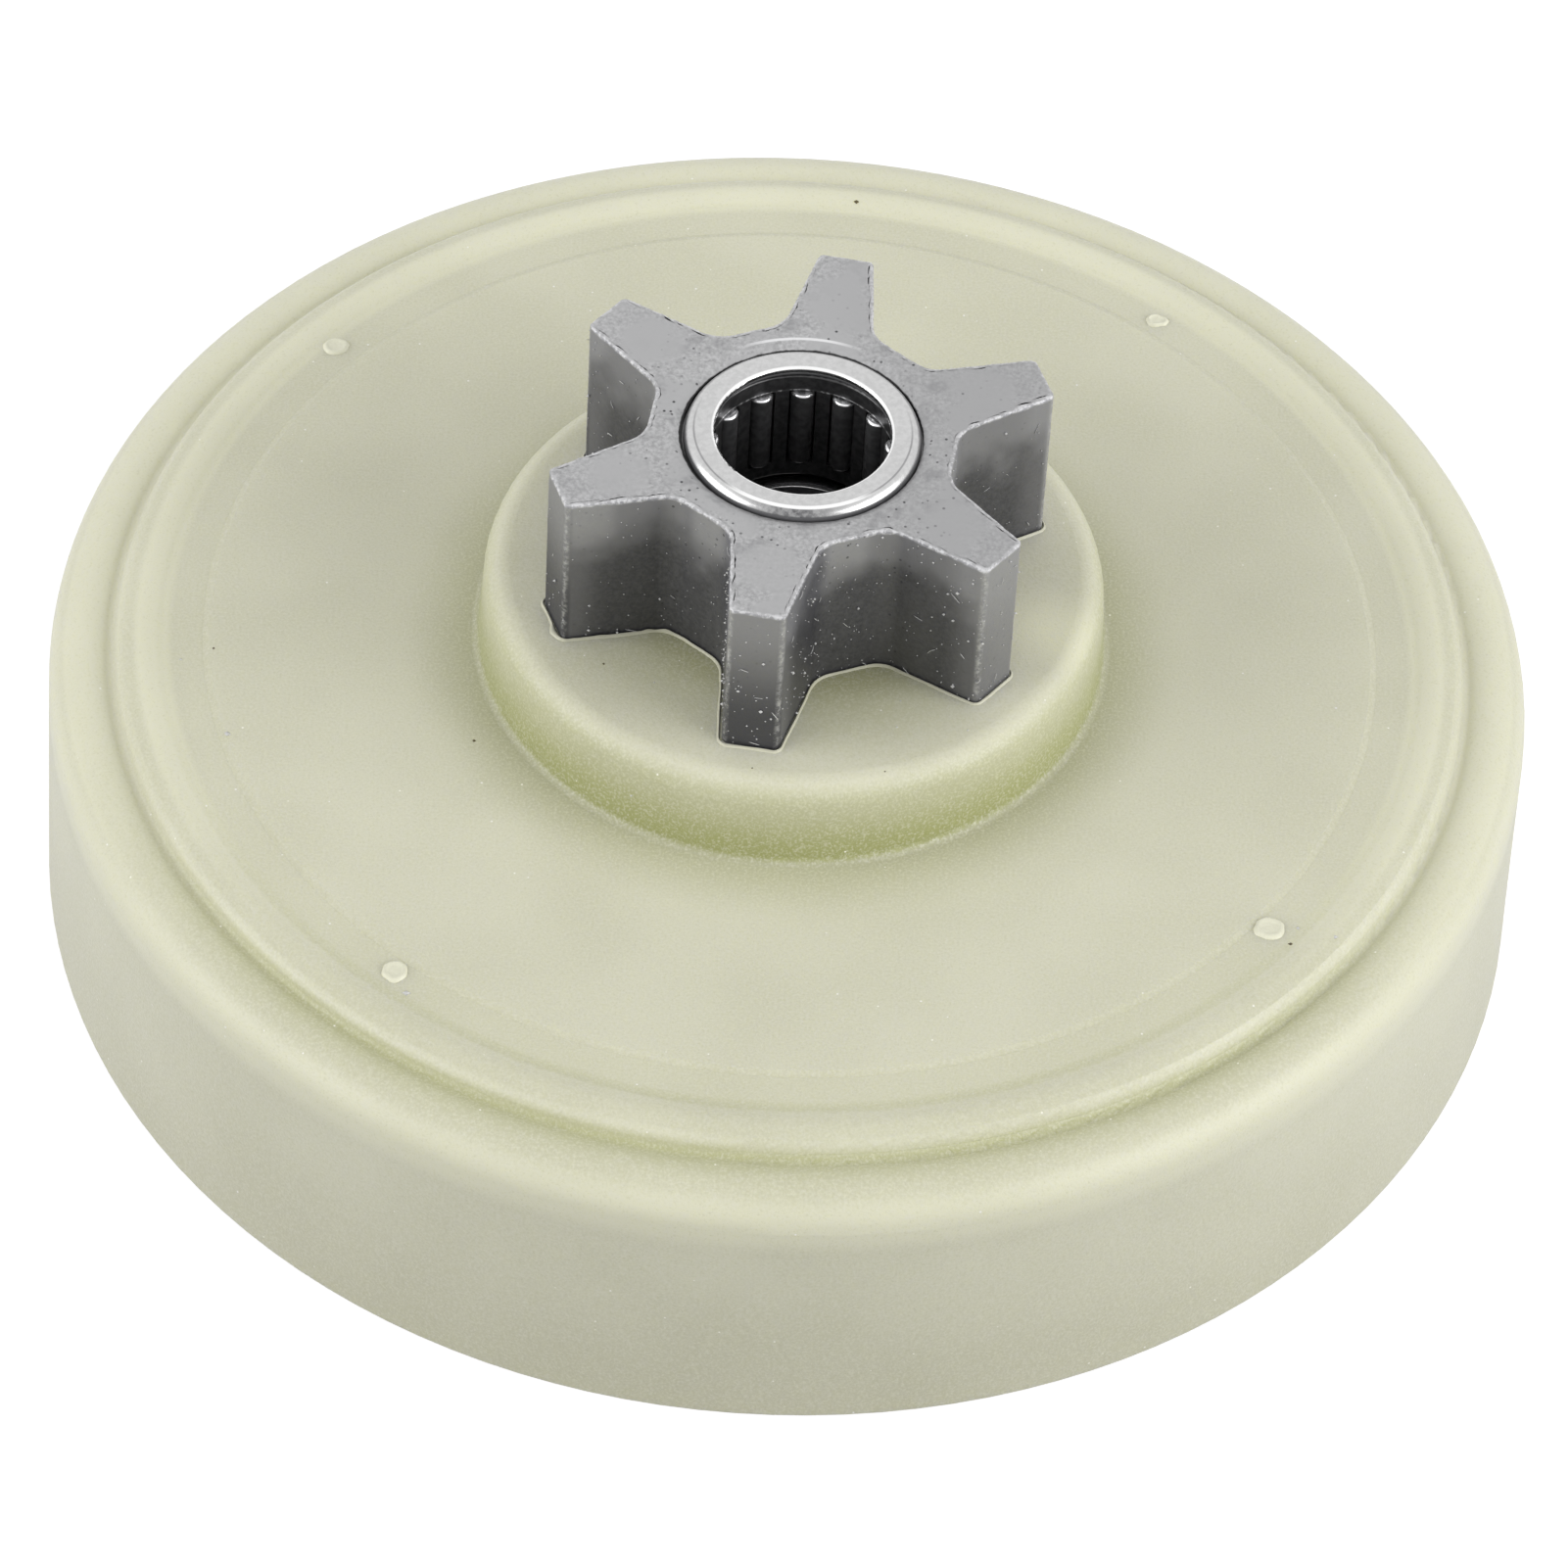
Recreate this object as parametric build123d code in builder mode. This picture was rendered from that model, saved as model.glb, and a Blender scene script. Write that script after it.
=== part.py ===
"""Drive sprocket of an electric chainsaw: a nylon drum with an internal ring gear, a steel chain star
moulded into its boss, and a drawn-cup needle bearing pressed into each end of the star's bore.

Millimetres. The drum's rim stands on Z = 0, the spin axis is +Z, and the origin is the centre of the rim.
"""

import os
from math import acos, cos, degrees, pi, radians, sin, sqrt, tan

from build123d import *

# Ring gear inside the drum, which the motor's pinion drives.
gear_teeth = 52
gear_module = 1.5
pressure_angle = 20.0
tooth_addendum = 1.0
tooth_dedendum = 1.25
gear_backlash = 0.1
gear_start = 1.2
gear_lead = 0.8
lead_clearance = 0.3

# Drum wall and rim.
wall = 3.6
wall_draft = 0.35
rim_top = 18.3
rim_round = 2.35
foot_round = 0.3

# Raised ring on top, beside the rim, and the web inside it. Rises and heights stand on what is below them.
rim_band = 3.87
ring_width = 2.65
ring_draft = 0.2
ring_rise = 0.55
ring_crown = 0.45
ring_round = 0.85
ring_inner_round = 1.5
crease_round = 0.4
land_width = 2.9
land_drop = 0.15
web_rise = 0.9
step_slope = 0.4
web_thickness = 3.2

# Chain star, and the steel body below it.
star_teeth = 6
star_tip_radius = 15.25
star_tip_width = 3.3
star_flank_angle = 9.4
star_root = 9.05
star_root_round = 2.0
star_tip_round = 0.4
star_edge_break = 0.12
star_clocking = 22.5
star_height = 11.05
star_depth = 7.55
hub_step = 0.05
hub_bottom = 3.0
groove_depth = 0.5
groove_width = 2.0
groove_height = 9.0
countersink_width = 0.7
countersink_depth = 0.35
mouth_gap = 0.1
mouth_depth = 0.4

# Nylon boss round the star, and sleeve round the steel body.
boss_height = 5.85
boss_wall = 3.2
boss_draft = 0.3
boss_round = 1.5
boss_foot_round = 0.5
sleeve_radius = 13.0
sleeve_draft = 0.3
sleeve_end_gap = 0.4
sleeve_round = 1.0

# Needle bearings, 10 x 14 x 10.
bearing_radius = 7.0
bearing_length = 10.0
bearing_proud = 0.2
cup_wall = 0.5
cup_corner = 0.7
cup_inner_corner = 0.2
lip_clearance = 0.19
lip_round = 0.2
needle_count = 14
needle_radius = 0.735
needle_round = 0.2
needle_phase = 91.5
raceway_clearance = 0.01
cage_inside = 0.3
cage_outside = 0.45
cage_end = 1.15
cage_lip_clearance = 0.4
cage_round = 0.15
pocket_side_clearance = 0.06
pocket_end_clearance = 0.15

# Ring gear radii. A tooth space has the form of an outside gear's tooth.
pitch_radius = gear_teeth * gear_module / 2
base_radius = pitch_radius * cos(radians(pressure_angle))
gear_tip_radius = pitch_radius - tooth_addendum * gear_module
gear_root_radius = pitch_radius + tooth_dedendum * gear_module
lead_radius = gear_root_radius + lead_clearance

# Drum radii, from the gear outwards, then from the rim inwards.
drum_radius = gear_root_radius + wall
drum_foot_radius = drum_radius + wall_draft
ring_foot_radius = drum_radius - rim_band
ring_outer_radius = ring_foot_radius - ring_draft
ring_inner_radius = ring_outer_radius - ring_width
step_radius = ring_inner_radius - land_width

# Heights, from the rim upwards.
ring_shoulder = rim_top + ring_rise
ring_crest = ring_shoulder + ring_crown
web_top = rim_top + web_rise
land_top = web_top - land_drop
cavity_top = web_top - web_thickness
boss_top = web_top + boss_height
star_top = boss_top + star_height
star_bottom = boss_top - star_depth

# Boss, sleeve and bearing places.
boss_radius = star_tip_radius + boss_wall
boss_foot_radius = boss_radius + boss_draft
hub_radius = star_root - hub_step
sleeve_bottom = hub_bottom + sleeve_end_gap
mouth_radius = bearing_radius + mouth_gap
raceway_radius = bearing_radius - cup_wall
needle_pitch_radius = raceway_radius - raceway_clearance - needle_radius
lip_radius = needle_pitch_radius - needle_radius + lip_clearance
cage_inner_radius = needle_pitch_radius - cage_inside
cage_outer_radius = needle_pitch_radius + cage_outside
bearing_bottoms = {
    "upper": star_top + bearing_proud - bearing_length,
    "lower": hub_bottom - bearing_proud,
}

os.makedirs("parts", exist_ok=True)


def save(builder, name):
    """Labels a finished piece and writes it as one STEP file."""
    builder.part.label = name
    export_step(builder.part, f"parts/{name}.step")


def polar(radius, angle):
    """A point on a circle about the spin axis, with the angle in radians."""
    return (radius * cos(angle), radius * sin(angle))


def space_half_angle(radius):
    """Half the angle that a gear tooth space takes up at a radius, between its two involute flanks."""
    flank = acos(base_radius / radius)
    at_pitch = radians(pressure_angle)
    half_at_pitch = pi / (2 * gear_teeth) + gear_backlash / (2 * pitch_radius)
    return half_at_pitch + (tan(at_pitch) - at_pitch) - (tan(flank) - flank)


def star_points():
    """Corners of the chain star: two at each tooth's flat tip, two where its flanks meet the root flats."""
    slope = tan(radians(star_flank_angle))
    half_tip = star_tip_width / 2
    half_pitch = pi / star_teeth
    # The flank x = half_tip + slope * (tip - y) meets the root flat x sin + y cos = root.
    reach = star_root - (half_tip + slope * star_tip_radius) * sin(half_pitch)
    foot_y = reach / (cos(half_pitch) - slope * sin(half_pitch))
    foot_x = half_tip + slope * (star_tip_radius - foot_y)
    tooth = [
        (foot_x, foot_y),
        (half_tip, star_tip_radius),
        (-half_tip, star_tip_radius),
        (-foot_x, foot_y),
    ]
    points = []
    for k in range(star_teeth):
        turn = radians(star_clocking - 90) + k * 2 * half_pitch
        for x, y in tooth:
            turned_x = x * cos(turn) - y * sin(turn)
            turned_y = x * sin(turn) + y * cos(turn)
            points.append((turned_x, turned_y))
    return points


# Steel body with no bore: the star, the round hub below it and a groove that locks it in the nylon.
with BuildPart() as steel_body:
    with BuildSketch(Plane.XY.offset(star_bottom)) as star_outline:
        with BuildLine():
            Polyline(*star_points(), close=True)
        make_face()
        root_corners = star_outline.vertices().sort_by_distance((0, 0))[: 2 * star_teeth]
        fillet(root_corners, star_root_round)
        tip_corners = star_outline.vertices().sort_by_distance((0, 0))[-2 * star_teeth :]
        fillet(tip_corners, star_tip_round)
    extrude(amount=star_top - star_bottom)
    chamfer(steel_body.faces().sort_by(Axis.Z)[-1].edges(), star_edge_break)
    with BuildSketch(Plane.XY.offset(hub_bottom)):
        Circle(hub_radius)
    extrude(amount=star_bottom - hub_bottom)
    with BuildSketch(Plane.XY.offset(groove_height)):
        Circle(hub_radius)
        Circle(hub_radius - groove_depth, mode=Mode.SUBTRACT)
    extrude(amount=groove_width, mode=Mode.SUBTRACT)

# Chain sprocket: the steel body with its through bore, which is relieved and countersunk at the upper bearing.
with BuildPart() as sprocket:
    add(steel_body.part)
    with BuildSketch(Plane.XZ):
        with BuildLine():
            Polyline(
                (0, hub_bottom),
                (bearing_radius, hub_bottom),
                (bearing_radius, star_top - countersink_depth - mouth_depth),
                (mouth_radius, star_top - countersink_depth - mouth_depth),
                (mouth_radius, star_top - countersink_depth),
                (mouth_radius + countersink_width, star_top),
                (0, star_top),
                close=True,
            )
        make_face()
    revolve(axis=Axis.Z, mode=Mode.SUBTRACT)
save(sprocket, "sprocket")

# One tooth space of the ring gear. Arcs through the tip, pitch and root points stand for the involutes.
tip_half = space_half_angle(gear_tip_radius)
pitch_half = space_half_angle(pitch_radius)
root_half = space_half_angle(gear_root_radius)
inside_radius = gear_tip_radius - lead_clearance
with BuildSketch() as tooth_space:
    with BuildLine():
        ThreePointArc(
            polar(gear_tip_radius, -tip_half),
            polar(pitch_radius, -pitch_half),
            polar(gear_root_radius, -root_half),
        )
        ThreePointArc(
            polar(gear_root_radius, -root_half),
            polar(gear_root_radius, 0),
            polar(gear_root_radius, root_half),
        )
        ThreePointArc(
            polar(gear_root_radius, root_half),
            polar(pitch_radius, pitch_half),
            polar(gear_tip_radius, tip_half),
        )
        Polyline(
            polar(gear_tip_radius, tip_half),
            polar(inside_radius, tip_half),
            polar(inside_radius, -tip_half),
            polar(gear_tip_radius, -tip_half),
        )
    make_face()

# Nylon drum: its outside is one turned profile, from the rim's foot over the ring and web to the boss.
bead_x = drum_radius - rim_round
bead_z = rim_top - rim_round
crease_angle = degrees(acos((ring_foot_radius - bead_x) / rim_round))
crease_z = bead_z + sqrt(rim_round**2 - (ring_foot_radius - bead_x) ** 2)
crest_radius = (ring_outer_radius + ring_inner_radius) / 2
with BuildPart() as gear_drum:
    with BuildSketch(Plane.XZ) as outside:
        with BuildLine():
            Line((0, 0), (drum_foot_radius, 0))
            Line((drum_foot_radius, 0), (drum_radius, bead_z))
            CenterArc((bead_x, bead_z), rim_round, 0, crease_angle)
            Line((ring_foot_radius, crease_z), (ring_outer_radius, ring_shoulder))
            ThreePointArc(
                (ring_outer_radius, ring_shoulder),
                (crest_radius, ring_crest),
                (ring_inner_radius, land_top),
            )
            Polyline(
                (ring_inner_radius, land_top),
                (step_radius + step_slope, land_top),
                (step_radius, web_top),
                (boss_foot_radius, web_top),
                (boss_radius, boss_top),
                (0, boss_top),
                (0, 0),
            )
        make_face()
        for corner, radius in (
            ((drum_foot_radius, 0), foot_round),
            ((ring_foot_radius, crease_z), crease_round),
            ((ring_outer_radius, ring_shoulder), ring_round),
            ((ring_inner_radius, land_top), ring_inner_round),
            ((boss_foot_radius, web_top), boss_foot_round),
            ((boss_radius, boss_top), boss_round),
        ):
            fillet(outside.vertices().sort_by_distance(corner)[0], radius)
    revolve(axis=Axis.Z)
    # The hollow round the sleeve, open at the rim.
    with BuildSketch(Plane.XZ) as hollow:
        with BuildLine():
            Polyline(
                (0, 0),
                (lead_radius, 0),
                (lead_radius, gear_start),
                (gear_tip_radius, gear_start + gear_lead),
                (gear_tip_radius, cavity_top),
                (sleeve_radius + sleeve_draft, cavity_top),
                (sleeve_radius, sleeve_bottom),
                (0, sleeve_bottom),
                close=True,
            )
        make_face()
        sleeve_root = (sleeve_radius + sleeve_draft, cavity_top)
        fillet(hollow.vertices().sort_by_distance(sleeve_root)[0], sleeve_round)
    revolve(axis=Axis.Z, mode=Mode.SUBTRACT)
    # Tooth spaces of the ring gear, cut from the lead-in up to the web.
    with BuildSketch(Plane.XY.offset(gear_start)):
        with PolarLocations(0, gear_teeth):
            add(tooth_space.sketch)
    extrude(amount=cavity_top - gear_start, mode=Mode.SUBTRACT)
    # The nylon fits the moulded-in steel exactly.
    add(steel_body.part, mode=Mode.SUBTRACT)
save(gear_drum, "gear_drum")

# Two needle bearings. Each is a drawn cup with a lip at both ends, a cage and its needles.
for side, bottom in bearing_bottoms.items():
    top = bottom + bearing_length
    middle = (bottom + top) / 2

    with BuildPart() as cup:
        with BuildSketch(Plane.XZ) as cup_section:
            with BuildLine():
                Polyline(
                    (lip_radius, bottom),
                    (bearing_radius, bottom),
                    (bearing_radius, top),
                    (lip_radius, top),
                    (lip_radius, top - cup_wall),
                    (raceway_radius, top - cup_wall),
                    (raceway_radius, bottom + cup_wall),
                    (lip_radius, bottom + cup_wall),
                    close=True,
                )
            make_face()
            for z, inner in ((bottom, bottom + cup_wall), (top, top - cup_wall)):
                for corner, radius in (
                    ((bearing_radius, z), cup_corner),
                    ((raceway_radius, inner), cup_inner_corner),
                    ((lip_radius, z), lip_round),
                ):
                    fillet(cup_section.vertices().sort_by_distance(corner)[0], radius)
        revolve(axis=Axis.Z)
    save(cup, f"{side}_bearing_cup")

    cage_bottom = bottom + cup_wall + cage_lip_clearance
    cage_top = top - cup_wall - cage_lip_clearance
    pocket_width = 2 * (needle_radius + pocket_side_clearance)
    pocket_length = cage_top - cage_bottom - 2 * cage_end
    needle_length = pocket_length - 2 * pocket_end_clearance
    with BuildPart() as cage:
        with BuildSketch(Plane.XY.offset(cage_bottom)):
            Circle(cage_outer_radius)
            Circle(cage_inner_radius, mode=Mode.SUBTRACT)
        extrude(amount=cage_top - cage_bottom)
        fillet(cage.edges().filter_by(GeomType.CIRCLE), cage_round)
        with BuildSketch(Plane.XY.offset(middle - pocket_length / 2)):
            with PolarLocations(needle_pitch_radius, needle_count, start_angle=needle_phase):
                Rectangle(2 * (cage_outer_radius - cage_inner_radius), pocket_width)
        extrude(amount=pocket_length, mode=Mode.SUBTRACT)
    save(cage, f"{side}_bearing_cage")

    for number in range(needle_count):
        angle = radians(needle_phase + number * 360 / needle_count)
        with BuildPart() as needle:
            with BuildSketch(Plane.XY.offset(middle - needle_length / 2)):
                with Locations(polar(needle_pitch_radius, angle)):
                    Circle(needle_radius)
            extrude(amount=needle_length)
            fillet(needle.edges().filter_by(GeomType.CIRCLE), needle_round)
        save(needle, f"{side}_needle_{number + 1:02d}")
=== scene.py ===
"""Looks of the chainsaw sprocket: nylon drum, sintered steel star and oiled needle bearings on a white floor.

Metres. The drum's rim stands on Z = 0 and the spin axis is +Z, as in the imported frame.
"""

import math
import random

import bpy
from mathutils import Matrix, Vector, noise


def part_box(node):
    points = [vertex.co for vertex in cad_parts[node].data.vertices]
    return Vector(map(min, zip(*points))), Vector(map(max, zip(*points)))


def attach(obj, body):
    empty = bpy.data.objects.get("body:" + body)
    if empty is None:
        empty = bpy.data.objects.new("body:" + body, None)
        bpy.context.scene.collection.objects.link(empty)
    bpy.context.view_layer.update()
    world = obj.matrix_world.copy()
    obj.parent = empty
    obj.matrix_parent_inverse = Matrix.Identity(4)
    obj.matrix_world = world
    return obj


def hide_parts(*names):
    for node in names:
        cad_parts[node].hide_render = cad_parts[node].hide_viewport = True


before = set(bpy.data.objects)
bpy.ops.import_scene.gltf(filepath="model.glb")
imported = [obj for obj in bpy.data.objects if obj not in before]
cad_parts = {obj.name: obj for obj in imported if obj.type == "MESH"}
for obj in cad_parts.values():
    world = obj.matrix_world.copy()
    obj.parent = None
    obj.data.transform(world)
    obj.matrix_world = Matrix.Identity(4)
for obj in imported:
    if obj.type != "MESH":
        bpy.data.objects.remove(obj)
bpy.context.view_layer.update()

MM = 0.001
WHITE = (1.0, 1.0, 1.0)

# Camera, fitted to the photograph's outline of the drum, star and bearing.
CAMERA_ELEVATION = math.radians(46.808)
CAMERA_ROLL = math.radians(3.465)
CAMERA_DISTANCE = 505.604 * MM
CAMERA_AIM_HEIGHT = 14.508 * MM
CAMERA_AIM_RIGHT = 0.217 * MM
CAMERA_AIM_UP = 5.848 * MM
LENS = 191.99
SENSOR = 36.0

# Heights and radii, from the frame.
STAR_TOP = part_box("sprocket")[1].z
HUB_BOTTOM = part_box("sprocket")[0].z
BOSS_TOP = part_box("gear_drum")[1].z
CUP_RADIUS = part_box("upper_bearing_cup")[1].x
NEEDLE_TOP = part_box("upper_needle_01")[1].z

# Drum, as in the part. Above TOP_EDGE the wall has turned into the drum's top.
WEB_TOP = 19.2 * MM
LAND_TOP = 19.05 * MM
LAND_INSIDE = 34.855 * MM
LAND_OUTSIDE = 37.755 * MM
CREASE_RADIUS = 40.605 * MM
BOSS_RADIUS = 18.45 * MM
TOP_EDGE = 17.4 * MM

# Bearings, as in the part.
LIP_RADIUS = 5.21 * MM
SLOT_TOP = NEEDLE_TOP + 0.15 * MM
CUP_HEIGHT = 10 * MM

# Chain star, as in the part.
TEETH = 6
TIP_RADIUS = 15.25 * MM
TIP_WIDTH = 3.3 * MM
FLANK_SLOPE = math.tan(math.radians(9.4))
ROOT_FLAT = 9.05 * MM
ROOT_ROUND = 2.0 * MM
TIP_ROUND = 0.4 * MM
CLOCKING = math.radians(22.5)
STAR_BOTTOM = BOSS_TOP - 7.55 * MM
HUB_RADIUS = 9.0 * MM
GROOVE_RADIUS = 8.5 * MM
GROOVE_BOTTOM = 9.0 * MM
GROOVE_TOP = 11.0 * MM
MOUTH_RADIUS = CUP_RADIUS + 0.1 * MM
MOUTH_TOP = STAR_TOP - 0.35 * MM
MOUTH_BOTTOM = MOUTH_TOP - 0.4 * MM
COUNTERSINK_RADIUS = MOUTH_RADIUS + 0.7 * MM

# How finely the star is meshed, and how its edges are worn.
OUTLINE_STEP = 0.16 * MM
FLANK_STEP = 0.35 * MM
EDGE_WEAR = 0.12 * MM
LEAST_WEAR = 0.04 * MM
MOST_WEAR = 0.3 * MM

# Patches on the star's flanks, by degrees round the spin axis and distance from it in mm.
# The low ones have a grey level too.
HIGH_PATCHES = ((-122.7, 9.1), (-71.8, 8.5), (-150, 14.0), (-7.5, 9.6))
LOW_PATCHES = ((-141, 10.8, 82), (-117, 11.2, 124), (-84, 11.5, 72), (-52, 10.8, 104), (-7, 10.5, 124))

# The moulding flash's section, outwards and upwards in shares of its width and height.
# The gap shade says how dark each corner of it is painted: painted shade, darkest beside the steel.
FLASH_SECTION = ((0.0, -0.10), (0.05, 0.25), (0.25, 0.75), (0.5, 1.0), (0.85, 0.55), (1.1, -0.10))
FLASH_GAP_SHADE = (1.0, 1.0, 0.7, 0.42, 0.3, 0.15)

# Gate marks: degrees round the spin axis, distance from it in mm, and size along X and Y in mm.
GATE_MARKS = (
    (53.5, 36.34, 1.5, 1.2),
    (142.4, 36.84, 1.8, 1.6),
    (233.25, 36.15, 1.6, 1.8),
    (323.4, 36.0, 2.0, 1.9),
)

# Crumbs on the drum: distance from the spin axis in mm, degrees round it, and size in mm.
DARK_SPOTS = (
    (38.39, 86.3, 0.38),
    (34.61, -173.1, 0.20),
    (21.1, -150.4, 0.26),
    (37.69, -36.9, 0.34),
    (16.9, -96.0, 0.16),
    (17.4, -70.0, 0.14),
    (14.2, -140.0, 0.16),
)
PALE_SPOTS = (
    (34.73, -161.4, 0.42),
    (36.6, -172.0, 0.22),
    (39.42, -33.9, 0.36),
    (36.99, -124.3, 0.55),
    (37.26, -34.9, 0.34),
    (10.15, -144.4, 0.34),
    (9.9, -143.0, 0.24),
    (18.6, -118.0, 0.22),
    (14.4, -63.0, 0.18),
    (12.6, -58.0, 0.15),
    (16.6, -50.0, 0.18),
    (13.0, -127.0, 0.16),
)

# How many crumbs and fibres lie on the star's flanks, and the seeds of their shapes and the spots'.
DUST_COUNT = 900
DUST_SEED = 7
SPOT_SEED = 11

# The world's light, and the floor: its grey, and the glow that makes it white to the eye.
WORLD_LEVEL = 0.5
FLOOR_HALF_WIDTH = 3.0
FLOOR_GREY = 0.27
FLOOR_GLOW = 0.86

# The lamps, in degrees, metres and watts.
LAMP_ELEVATION = 25
LAMP_DISTANCE = 1.0
LAMP_WIDTH = 0.8
LEFT_LAMP_AZIMUTH = 197
LEFT_LAMP_POWER = 5.8
RIGHT_LAMP_AZIMUTH = 338
RIGHT_LAMP_POWER = 6.9


def srgb(red, green, blue):
    """Linear colour with alpha, from sRGB levels of 0 to 255."""
    levels = []
    for level in (red, green, blue):
        share = level / 255
        levels.append(share / 12.92 if share <= 0.04045 else ((share + 0.055) / 1.055) ** 2.4)
    return (*levels, 1.0)


def rough(point, size, seed=0.0):
    """Smooth noise of about -1 to 1 with features of that size."""
    return noise.noise(point / size + Vector((seed, 2 * seed, -seed)))


def make_object(name, points, faces, material, body="drum", smooth_angle=40.0):
    """A mesh piece that rides on a body, with the given material."""
    mesh = bpy.data.meshes.new(name)
    mesh.from_pydata([tuple(p) for p in points], [], faces)
    mesh.validate()
    mesh.shade_smooth()
    mesh.set_sharp_from_angle(angle=math.radians(smooth_angle))
    mesh.materials.append(material)
    made = bpy.data.objects.new(name, mesh)
    bpy.context.scene.collection.objects.link(made)
    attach(made, body)
    return made


def ring_faces(rings, count):
    """Quads between neighbouring rings of count points each, and between the last ring and the first."""
    faces = []
    for i in range(rings):
        low, high = i * count, (i + 1) % rings * count
        for k in range(count):
            after = (k + 1) % count
            faces.append((low + k, low + after, high + after, high + k))
    return faces


class Nodes:
    """Builds a material's node tree with short calls."""

    def __init__(self, name):
        self.material = bpy.data.materials.new(name)
        self.material.use_nodes = True
        self.tree = self.material.node_tree
        self.shader = self.tree.nodes["Principled BSDF"]
        coordinates = self.tree.nodes.new("ShaderNodeTexCoord")
        self.place = coordinates.outputs["Object"]

    def node(self, kind, inputs=None, **settings):
        made = self.tree.nodes.new(kind)
        for key, value in settings.items():
            setattr(made, key, value)
        for key, value in (inputs or {}).items():
            self.feed(made.inputs[key], value)
        return made

    def feed(self, socket, value):
        """Links a socket's value, or sets a fixed one."""
        if isinstance(value, bpy.types.NodeSocket):
            self.tree.links.new(value, socket)
        else:
            socket.default_value = value

    def noise(self, size, detail=2.0, roughness=0.5):
        """Noise from 0 to 1 whose features are about that size in metres."""
        inputs = {"Vector": self.place, "Scale": 1 / size, "Detail": detail, "Roughness": roughness}
        return self.node("ShaderNodeTexNoise", inputs).outputs["Fac"]

    def math(self, operation, first, second=0.0):
        return self.node("ShaderNodeMath", {0: first, 1: second}, operation=operation).outputs[0]

    def times(self, *values):
        """The product of all the values."""
        product = values[0]
        for value in values[1:]:
            product = self.math("MULTIPLY", product, value)
        return product

    def between(self, share, start, end):
        """Start where share is 0, end where it is 1, and even in between."""
        return self.math("ADD", self.times(share, end - start), start)

    def ramp(self, value, low, high, start=0.0, end=1.0):
        """Maps low..high to start..end smoothly, and holds the ends."""
        inputs = {"Value": value, "From Min": low, "From Max": high, "To Min": start, "To Max": end}
        return self.node("ShaderNodeMapRange", inputs, interpolation_type="SMOOTHSTEP").outputs["Result"]

    def band(self, value, low, high, soft, strength=1.0):
        """Strength between low and high, and 0 outside, with soft ends."""
        rise = self.ramp(value, low - soft, low, 0.0, strength)
        fall = self.ramp(value, high, high + soft, 1.0, 0.0)
        return self.times(rise, fall)

    def mix(self, share, first, second):
        """Mixes two colours, each a socket or a fixed colour."""
        made = self.node("ShaderNodeMix", data_type="RGBA")
        self.feed(made.inputs["Factor"], share)
        self.feed(made.inputs[6], first)
        self.feed(made.inputs[7], second)
        return made.outputs[2]

    def specks(self, size, share, radius=0.3):
        """Sparse round specks: 1 inside a speck and 0 outside. Size is the cells' size in metres."""
        cells = self.node("ShaderNodeTexVoronoi", {"Vector": self.place, "Scale": 1 / size})
        split = self.node("ShaderNodeSeparateColor", {"Color": cells.outputs["Color"]})
        chosen = self.math("GREATER_THAN", split.outputs[0], 1 - share)
        inside = self.ramp(cells.outputs["Distance"], radius * 0.5, radius, 1.0, 0.0)
        return self.times(chosen, inside)

    def bump(self, height, distance, strength=1.0):
        inputs = {"Height": height, "Distance": distance, "Strength": strength}
        return self.node("ShaderNodeBump", inputs).outputs["Normal"]

    def place_parts(self):
        """X, Y and height, in metres."""
        return self.node("ShaderNodeSeparateXYZ", {"Vector": self.place}).outputs

    def polar(self):
        """Distance from the spin axis, and height, in metres."""
        x, y, z = self.place_parts()
        square = self.math("ADD", self.times(x, x), self.times(y, y))
        return self.math("SQRT", square), z

    def near(self, angle, radius, reach):
        """1 at a point given by its angle and its distance from the spin axis, fading to 0 over reach."""
        centre = (radius * math.cos(angle), radius * math.sin(angle), 0)
        flat = self.node("ShaderNodeVectorMath", {0: self.place, 1: (1, 1, 0)}, operation="MULTIPLY")
        gap = self.node("ShaderNodeVectorMath", {0: flat.outputs[0], 1: centre}, operation="DISTANCE")
        return self.ramp(gap.outputs["Value"], 0.0, reach, 1.0, 0.0)

    def facing_up(self):
        """The upward part of the surface's own direction, from -1 to 1."""
        normal = self.node("ShaderNodeNewGeometry").outputs["True Normal"]
        return self.node("ShaderNodeSeparateXYZ", {"Vector": normal}).outputs[2]

    def attribute(self, name):
        return self.node("ShaderNodeAttribute", attribute_name=name).outputs["Fac"]

    def set(self, **values):
        for key, value in values.items():
            self.feed(self.shader.inputs[key.replace("_", " ")], value)


# Colours of painted shade in creases and at feet, and on the drum's front.
OLIVE_SHADE = srgb(184, 185, 132)
SHADED_IVORY = srgb(193, 192, 164)
SMOOTH_STEEL = srgb(177, 177, 178)


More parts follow.
